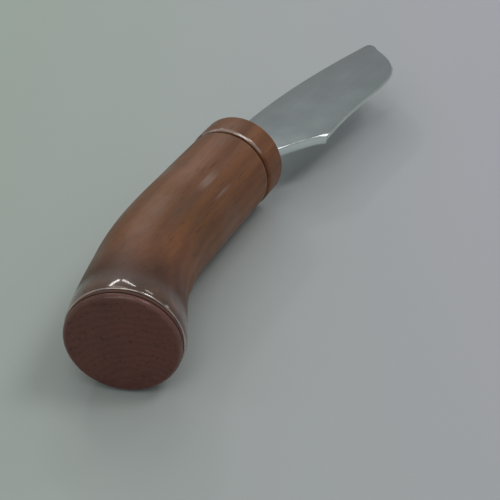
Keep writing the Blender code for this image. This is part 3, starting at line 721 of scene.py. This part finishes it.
def make_collar():
    web_rear = COLLAR_LENGTH - COLLAR_WEB
    rows = [(web_rear, COLLAR_BORE, 0.0), (0.0, COLLAR_BORE, 0.0)]
    rows += corner(0.0, COLLAR_RADIUS, COLLAR_REAR_ROUND, -1, 1.0)
    rows += corner(COLLAR_LENGTH, COLLAR_RADIUS, COLLAR_FRONT_ROUND, 1, COLLAR_FRONT_WEAR)
    rows += [(COLLAR_LENGTH, COLLAR_BORE, 0.0)]
    bm = skin(turned_rings(rows, on_axis), True, True)
    # The rims' pale painted highlight stays on the collar's upper side only
    keep_painted_highlight_side(bm)
    collar = shown(bm, "collar_wood", "head", "collar", ["wood", "wood_rim"])
    half_width = TANG_HALF_WIDTH + FIT_GAP
    half_thickness = BLADE_THICKNESS / 2 + FIT_GAP
    low = AXIS_START + Vector((web_rear - CUT_MARGIN / 2, -half_width, -half_thickness))
    high = AXIS_START + Vector((COLLAR_LENGTH + CUT_MARGIN, half_width, half_thickness))
    carve(collar, box_cutter(low, high))
    carve(collar, rod_cutter(pin_place, 0.0, COLLAR_RADIUS + CUT_MARGIN, PIN_HOLE_RADIUS))


# The blade's outline in its own plane, as in the CAD: cubic curves through named points, in millimetres
ROOT_TOP = (SHOULDER_AT / MM, 9.6)
SPINE_END = (117.2, -7.9)
TIP_TOP = (121.4, -9.3)
TIP_SIDE = (122.0, -12.6)
NOSE_DIP = (118.4, -16.2)
BELLY = (92.0, -29.4)
HEEL = (36.3, -24.7)
ROOT_BOTTOM = (SHOULDER_AT / MM, -6.7)
SPINE_CURVES = (
    ((ROOT_TOP, (45.0, 9.9), (80.0, 3.0), SPINE_END), LONG_STEPS),
    ((SPINE_END, (119.2, -8.4), (120.5, -8.6), TIP_TOP), TIP_STEPS),
    ((TIP_TOP, (122.4, -10.0), (122.8, -11.2), TIP_SIDE), TIP_STEPS),
)
EDGE_CURVES = (
    ((TIP_SIDE, (121.2, -14.0), (119.6, -14.8), NOSE_DIP), TIP_STEPS),
    ((NOSE_DIP, (113.0, -22.6), (106.5, -29.4), BELLY), LONG_STEPS),
    ((BELLY, (80.0, -29.4), (66.0, -24.9), HEEL), HEEL_STEPS),
)
CHOIL_CURVE = ((HEEL, (35.9, -20.8), (27.5, -16.6), ROOT_BOTTOM), CHOIL_STEPS)


def in_metres(point):
    return Vector((point[0] * MM, point[1] * MM, 0))


def outline_points(curves):
    """The points of cubic curves, without the very last one."""
    points = []
    for knots, steps in curves:
        points += interpolate_bezier(*[in_metres(knot) for knot in knots], steps + 1)[:-1]
    return points


def blade_outline():
    """The spine, the tip, the ground edge and the choil as points, and where the edge starts and ends."""
    spine = outline_points(SPINE_CURVES)
    edge = outline_points(EDGE_CURVES)
    choil = outline_points([CHOIL_CURVE]) + [in_metres(ROOT_BOTTOM)]
    return spine + edge + choil, len(spine), len(spine) + len(edge)


def inward_ways(points, heel):
    """For each outline point, the way into the blade across an edge one unit wide."""
    ways = []
    for i in range(len(points)):
        run = points[min(i + 1, len(points) - 1)] - points[max(i - 1, 0)]
        ways.append(Vector((run.y, -run.x, 0)).normalized())
    before = points[heel] - points[heel - 1]
    square = Vector((before.y, -before.x, 0)).normalized()
    along_choil = (points[heel + 1] - points[heel]).normalized()
    ways[heel] = along_choil / along_choil.dot(square)
    ways[0] = Vector((0, -1, 0))
    ways[-1] = Vector((0, 1, 0))
    return ways


def make_blade():
    points, edge_start, heel = blade_outline()
    ways = inward_ways(points, heel)
    half = BLADE_THICKNESS / 2
    edge_top = half - TOP_BEVEL_DEPTH
    edge_foot = edge_top - EDGE_LAND
    slack = BACK_ROUND * (1 - math.sqrt(0.5))
    # Rows of (height, width) for the rounded back, then for the ground edge
    levels = [
        ((half, BACK_ROUND), (half, TOP_BEVEL_WIDTH)),
        ((half - slack, slack), ((half + edge_top) / 2, TOP_BEVEL_WIDTH / 2)),
        ((half - BACK_ROUND, 0.0), (edge_top, 0.0)),
        ((BACK_ROUND - half, 0.0), (edge_foot, 0.0)),
        ((slack - half, slack), ((edge_foot - half) / 2, UNDER_BEVEL_WIDTH / 2)),
        ((-half, BACK_ROUND), (-half, UNDER_BEVEL_WIDTH)),
    ]
    tang = [
        Vector((SHOULDER_AT, -TANG_HALF_WIDTH, 0)),
        Vector((TANG_END, -TANG_HALF_WIDTH, 0)),
        Vector((TANG_END, TANG_HALF_WIDTH, 0)),
        Vector((SHOULDER_AT, TANG_HALF_WIDTH, 0)),
    ]
    rings = []
    for back, ground in levels:
        ring = []
        for i, (point, way) in enumerate(zip(points, ways)):
            share = smoothstep((i - edge_start) / BEVEL_RUN_OUT) if i <= heel else 0.0
            height = back[0] + (ground[0] - back[0]) * share
            width = back[1] + (ground[1] - back[1]) * share
            ring.append(AXIS_START + point + way * width + Vector((0, 0, height)))
        ring += [AXIS_START + point + Vector((0, 0, back[0])) for point in tang]
        rings.append((ring, 0.0))
    bm = skin(rings, True, True)
    blade = shown(bm, "blade_plate", "head", "blade", ["blade_steel", "ground_steel"])
    # The two flats keep the satin finish, and the back, the bevels and the choil are brighter
    for face in blade.data.polygons:
        face.material_index = 0 if abs(face.normal.z) > FLAT_NORMAL else 1
    carve(blade, rod_cutter(pin_place, -CUT_MARGIN, CUT_MARGIN, PIN_HOLE_RADIUS))


make_grip()
make_cap()
make_spacer()
make_collar()
make_blade()


# The CAD nodes that stay


def smoothing_group():
    """Joins a node's faces and shades its round faces smooth, leaving its mesh data alone."""
    group = bpy.data.node_groups.new("smooth_rounds", "GeometryNodeTree")
    group.interface.new_socket("Geometry", in_out="INPUT", socket_type="NodeSocketGeometry")
    group.interface.new_socket("Geometry", in_out="OUTPUT", socket_type="NodeSocketGeometry")
    nodes = group.nodes
    start = nodes.new("NodeGroupInput")
    joined = nodes.new("GeometryNodeMergeByDistance")
    joined.inputs["Distance"].default_value = NODE_MERGE
    faces = nodes.new("GeometryNodeSetShadeSmooth")
    faces.domain = "FACE"
    angle = nodes.new("GeometryNodeInputMeshEdgeAngle")
    gentle = nodes.new("FunctionNodeCompare")
    gentle.data_type = "FLOAT"
    gentle.operation = "LESS_THAN"
    gentle.inputs["B"].default_value = SHARP_ANGLE
    edges = nodes.new("GeometryNodeSetShadeSmooth")
    edges.domain = "EDGE"
    end = nodes.new("NodeGroupOutput")
    group.links.new(start.outputs[0], joined.inputs["Geometry"])
    group.links.new(joined.outputs["Geometry"], faces.inputs["Geometry"])
    group.links.new(faces.outputs["Geometry"], edges.inputs["Geometry"])
    group.links.new(angle.outputs["Unsigned Angle"], gentle.inputs["A"])
    group.links.new(gentle.outputs["Result"], edges.inputs["Shade Smooth"])
    group.links.new(edges.outputs["Geometry"], end.inputs[0])
    return group


NODE_LOOKS = {
    "bearing_housing": "brass",
    "dust_seal": "felt",
    "rear_bush": "bronze",
    "pommel_insert": "brass",
    "pommel_dowel": "end_wood",
    "pin_plug": "wood",
    "thrust_washer": "bronze",
    "bearing_cage": "brass",
}
rounds = smoothing_group()
for node_name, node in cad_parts.items():
    look = LOOKS[NODE_LOOKS.get(node_name, "bright_steel")]
    for material_slot in node.material_slots:
        material_slot.material = look
    node.modifiers.new("rounds", "NODES").node_group = rounds


# Table, light and camera


def make_table():
    bm = bmesh.new()
    bmesh.ops.create_grid(bm, x_segments=1, y_segments=1, size=TABLE_REACH)
    mesh = bpy.data.meshes.new("table_top")
    bm.to_mesh(mesh)
    bm.free()
    mesh.materials.append(make_table_look())
    table = bpy.data.objects.new("table_top", mesh)
    bpy.context.scene.collection.objects.link(table)


def direction(bearing, height):
    """A unit vector at this many degrees from +X toward +Y, and above the horizon."""
    bearing, height = math.radians(bearing), math.radians(height)
    level = math.cos(height)
    return Vector((level * math.cos(bearing), level * math.sin(bearing), math.sin(height)))


def make_softbox(name, start, end, width, power):
    """A soft area light that faces the knife, from one direction to another."""
    first = direction(*start) * LIGHT_DISTANCE
    last = direction(*end) * LIGHT_DISTANCE
    middle = (first + last) / 2
    away = middle.normalized()
    across = away.cross(last - first).normalized()
    facing = Matrix((across.cross(away), across, away)).transposed().to_4x4()
    data = bpy.data.lights.new(name, "AREA")
    data.shape = "RECTANGLE"
    data.size = (last - first).length
    data.size_y = width
    data.energy = power
    data.color = LIGHT_COLOUR
    light = bpy.data.objects.new(name, data)
    light.matrix_world = Matrix.Translation(middle) @ facing
    bpy.context.scene.collection.objects.link(light)


def make_surroundings():
    world = bpy.data.worlds.new("studio")
    world.use_nodes = True
    background = world.node_tree.nodes["Background"]
    background.inputs["Color"].default_value = (*SKY_COLOUR, 1)
    background.inputs["Strength"].default_value = SKY_STRENGTH
    bpy.context.scene.world = world


def make_camera():
    data = bpy.data.cameras.new("camera")
    data.lens = CAMERA_LENS
    camera = bpy.data.objects.new("camera", data)
    camera.location = AXIS_START + CAMERA_OFFSET
    camera.rotation_euler = (math.pi / 2 - CAMERA_DOWN, 0, CAMERA_HEADING - math.pi / 2)
    bpy.context.scene.collection.objects.link(camera)
    bpy.context.scene.camera = camera


make_table()
make_surroundings()
for softbox in SOFTBOXES:
    make_softbox(*softbox)
make_camera()
bpy.context.scene.view_settings.view_transform = "Standard"
